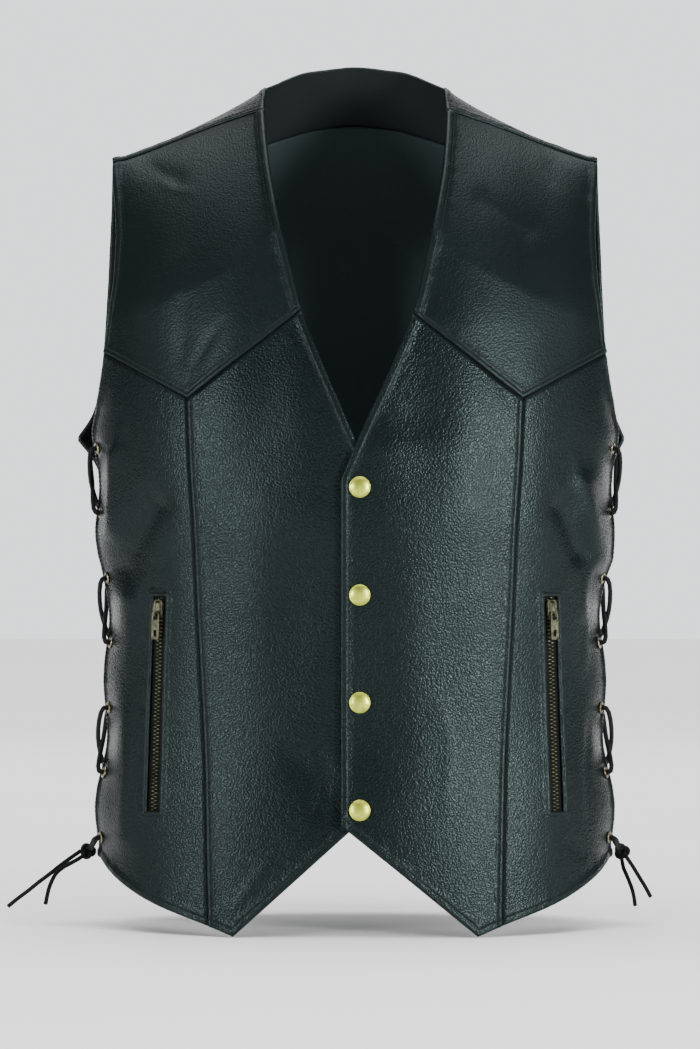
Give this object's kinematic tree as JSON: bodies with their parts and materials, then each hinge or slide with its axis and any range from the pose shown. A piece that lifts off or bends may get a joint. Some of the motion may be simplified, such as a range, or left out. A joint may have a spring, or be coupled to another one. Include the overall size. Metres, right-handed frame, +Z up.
{
  "type": "leather vest",
  "caption": "Black leather V neck vest with pointed yokes, a snap front, zip pockets and laced sides, in its worn, hollow form.",
  "frame": {"origin": "midway between the shoulders, level with the shoulder line, where the wearer's shoulders carry it", "axes": "+Z up, the front faces -Y, +X is the wearer's left"},
  "size_m": [0.4952, 0.2602, 0.6618],
  "materials": {
    "leather": "soft black grained leather, semi-matt",
    "lining": "matt black lining cloth",
    "zip_tape": "black woven tape with dark antique brass teeth",
    "lace": "black round lace, matt",
    "snap": "pale polished brass",
    "eyelet": "antique brass",
    "slider": "antique nickel"
  },
  "bodies": {
    "vest": {"yoke_right": "leather", "front_centre_right": "leather", "front_side_right": "leather", "yoke_left": "leather", "front_centre_left": "leather", "front_side_left": "leather", "back_panel": "leather", "back_lining": "lining", "eyelet_right_front_1": "eyelet", "eyelet_right_front_2": "eyelet", "eyelet_right_front_3": "eyelet", "eyelet_right_front_4": "eyelet", "eyelet_right_front_5": "eyelet", "eyelet_right_front_6": "eyelet", "eyelet_right_front_7": "eyelet", "eyelet_right_back_1": "eyelet", "eyelet_right_back_2": "eyelet", "eyelet_right_back_3": "eyelet", "eyelet_right_back_4": "eyelet", "eyelet_right_back_5": "eyelet", "eyelet_right_back_6": "eyelet", "eyelet_right_back_7": "eyelet", "zip_tape_right": "zip_tape", "zip_slider_right": "slider", "lace_right": "lace", "knot_right": "lace", "eyelet_left_front_1": "eyelet", "eyelet_left_front_2": "eyelet", "eyelet_left_front_3": "eyelet", "eyelet_left_front_4": "eyelet", "eyelet_left_front_5": "eyelet", "eyelet_left_front_6": "eyelet", "eyelet_left_front_7": "eyelet", "eyelet_left_back_1": "eyelet", "eyelet_left_back_2": "eyelet", "eyelet_left_back_3": "eyelet", "eyelet_left_back_4": "eyelet", "eyelet_left_back_5": "eyelet", "eyelet_left_back_6": "eyelet", "eyelet_left_back_7": "eyelet", "zip_tape_left": "zip_tape", "zip_slider_left": "slider", "lace_left": "lace", "knot_left": "lace", "snap_cap_1": "snap", "snap_stud_1": "snap", "snap_cap_2": "snap", "snap_stud_2": "snap", "snap_cap_3": "snap", "snap_stud_3": "snap", "snap_cap_4": "snap", "snap_stud_4": "snap", "lace_end_right_1": "lace", "lace_end_right_2": "lace", "lace_end_left_1": "lace", "lace_end_left_2": "lace"},
    "pull_right": {"zip_pull_right": "slider"},
    "pull_left": {"zip_pull_left": "slider"}
  },
  "joints": [
    {"name": "pull_right_swing", "type": "hinge", "parent": "vest", "child": "pull_right", "pos_m": [-0.14903, -0.09135, -0.38005], "axis": [-0.7893, 0.6079, 0.0868], "range_deg": [0, 115]},
    {"name": "pull_left_swing", "type": "hinge", "parent": "vest", "child": "pull_left", "pos_m": [0.14903, -0.09135, -0.38005], "axis": [-0.789, -0.6083, -0.0869], "range_deg": [0, 115]}
  ]
}
